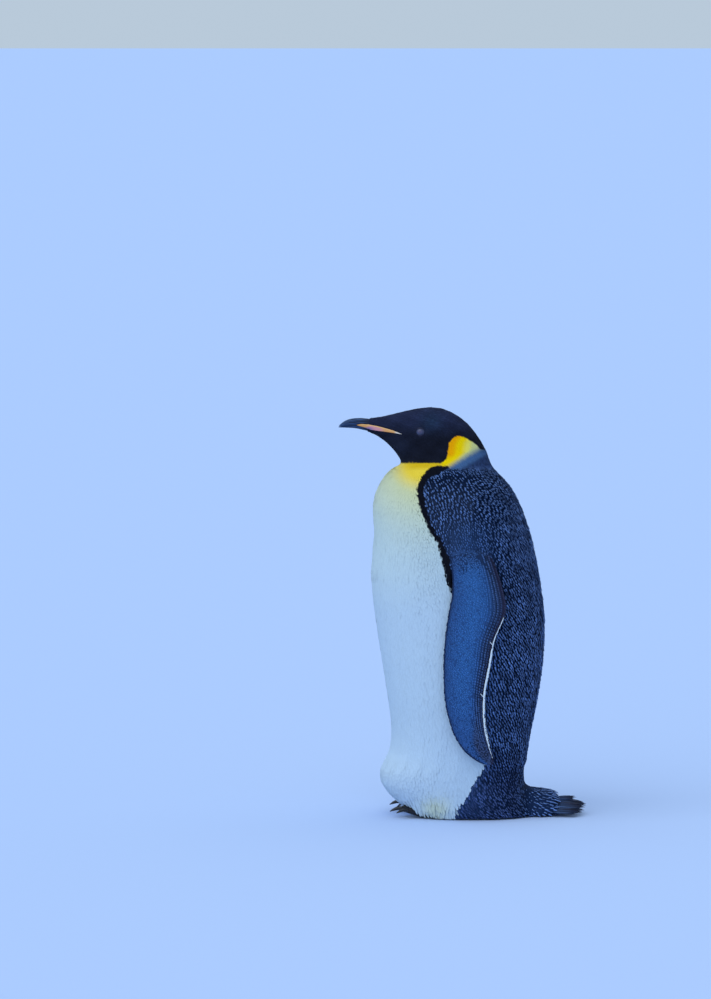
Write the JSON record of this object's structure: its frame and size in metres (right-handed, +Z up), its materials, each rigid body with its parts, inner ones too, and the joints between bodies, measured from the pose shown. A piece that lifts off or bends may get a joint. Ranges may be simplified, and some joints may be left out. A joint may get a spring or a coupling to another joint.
{
  "type": "emperor penguin model",
  "caption": "Life-size emperor penguin, a still museum model: standing on its heels with flippers at its sides, neck drawn in, toes raised and tail propped on the floor.",
  "frame": {"origin": "on the floor, below the middle of the whole bird, from the tip of the bill to the tip of the tail", "axes": "+Z up; the bird looks along -X; its median plane is Y = 0 and its left side is -Y"},
  "size_m": [0.5625, 0.3534, 0.9229],
  "materials": {
    "bill_horn": "dark horn, satin",
    "bill_plate": "orange to lilac horn, satin",
    "black_plumage": "short black plumage",
    "eye": "lilac grey closed lid, moist",
    "neck_plumage": "yellow to white plumage with a black band",
    "body_plumage": "white plumage in front, slate blue behind",
    "back_plumage": "slate blue plumage with dark edges",
    "flipper_plumage": "short stiff scale-like plumage, slate blue outside and white inside",
    "foot_skin": "black scaly skin",
    "claw_horn": "black horn",
    "tail_quill": "dark stiff worn feathers"
  },
  "bodies": {
    "root": {"bill_upper": "bill_horn", "bill_lower": "bill_horn", "bill_plate_left": "bill_plate", "bill_plate_right": "bill_plate", "head": "black_plumage", "eye_left": "eye", "eye_right": "eye", "neck": "neck_plumage", "trunk": "body_plumage", "flipper_left": "flipper_plumage", "flipper_right": "flipper_plumage", "belly_fold": "body_plumage", "leg_left": "body_plumage", "leg_right": "body_plumage", "rump": "back_plumage", "foot_left": "foot_skin", "foot_right": "foot_skin", "claw_inner_left": "claw_horn", "claw_inner_right": "claw_horn", "claw_middle_left": "claw_horn", "claw_middle_right": "claw_horn", "claw_outer_left": "claw_horn", "claw_outer_right": "claw_horn", "tail_coverts": "back_plumage", "tail_feathers": "tail_quill"}
  },
  "joints": []
}
